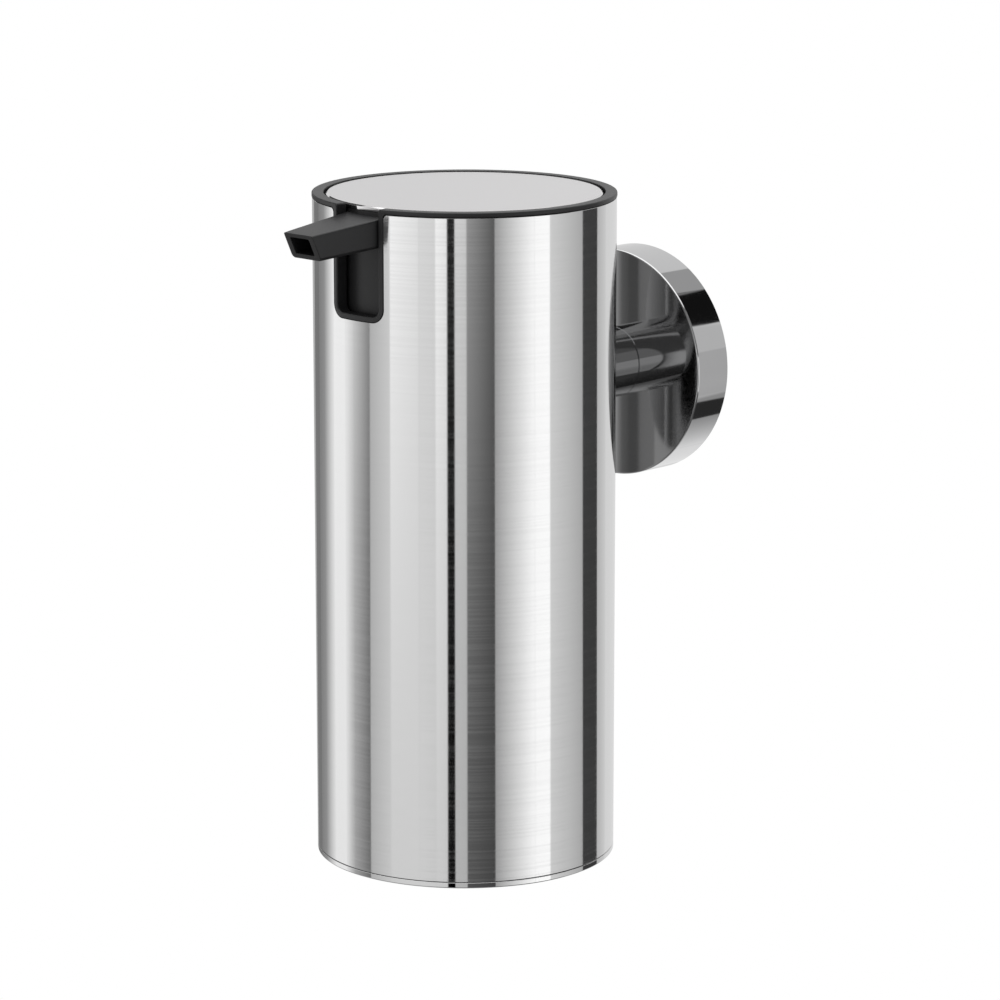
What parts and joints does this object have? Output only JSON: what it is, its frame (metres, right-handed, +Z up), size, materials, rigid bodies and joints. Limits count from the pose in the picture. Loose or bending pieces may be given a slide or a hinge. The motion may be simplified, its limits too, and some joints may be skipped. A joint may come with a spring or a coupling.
{
  "type": "wall mounted soap dispenser",
  "caption": "Wall mounted press-down soap dispenser: steel cylinder on a round rosette, black trim and spout, lift-out refill bottle with pump.",
  "frame": {"origin": "middle of the wall plate's back face, where it touches the wall", "axes": "+Z up along the body, +Y into the wall, the spout points towards -Y, +X across the front"},
  "size_m": [0.0702, 0.1145, 0.1563],
  "materials": {
    "polished_steel": "polished stainless steel",
    "brushed_steel": "brushed round the body, fine lines",
    "satin_steel": "satin disc",
    "black_plastic": "matt moulded",
    "white_plastic": "natural polypropylene",
    "bottle_plastic": "translucent polyethylene",
    "seal_rubber": "smooth",
    "cast_plate": "die cast",
    "fastener_steel": "bright zinc plated",
    "dark_screw": "black oxide",
    "spring_steel": "drawn wire"
  },
  "bodies": {
    "holder": {"shell": "brushed_steel", "base_cap": "brushed_steel", "neck": "polished_steel", "rosette": "polished_steel", "wall_plate": "cast_plate", "grub_screw": "dark_screw", "rosette_screw": "fastener_steel", "lock_washer": "fastener_steel", "saddle_washer": "fastener_steel", "shell_screw": "fastener_steel"},
    "reservoir": {"bottle": "bottle_plastic"},
    "pump": {"trim_insert": "black_plastic", "pump_housing": "white_plastic", "neck_gasket": "seal_rubber", "stem_seal": "seal_rubber", "retainer_nut": "white_plastic", "dip_tube": "bottle_plastic", "return_spring": "spring_steel"},
    "head": {"top_disc": "satin_steel", "pump_head": "black_plastic", "spout": "black_plastic", "outlet_tube": "seal_rubber", "stem": "white_plastic", "piston": "white_plastic", "valve_seat": "white_plastic"},
    "inlet_valve": {"inlet_ball": "fastener_steel"},
    "outlet_valve": {"outlet_ball": "fastener_steel"}
  },
  "joints": [
    {"name": "reservoir_lift", "type": "slide", "parent": "holder", "child": "reservoir", "axis": [0, 0, 1], "range_m": [0, 0.16]},
    {"name": "pump_lift", "type": "slide", "parent": "reservoir", "child": "pump", "axis": [0, 0, 1], "range_m": [0, 0.11]},
    {"name": "head_press", "type": "slide", "parent": "pump", "child": "head", "axis": [0, 0, -1], "range_m": [0, 0.014], "stiffness_N_per_m": 600, "springref_m": -0.008, "deforming": ["return_spring"]},
    {"name": "inlet_ball_lift", "type": "slide", "parent": "pump", "child": "inlet_valve", "axis": [0, 0, 1], "range_m": [0, 0.002]},
    {"name": "outlet_ball_lift", "type": "slide", "parent": "head", "child": "outlet_valve", "axis": [0, 0, 1], "range_m": [0, 0.002]}
  ]
}
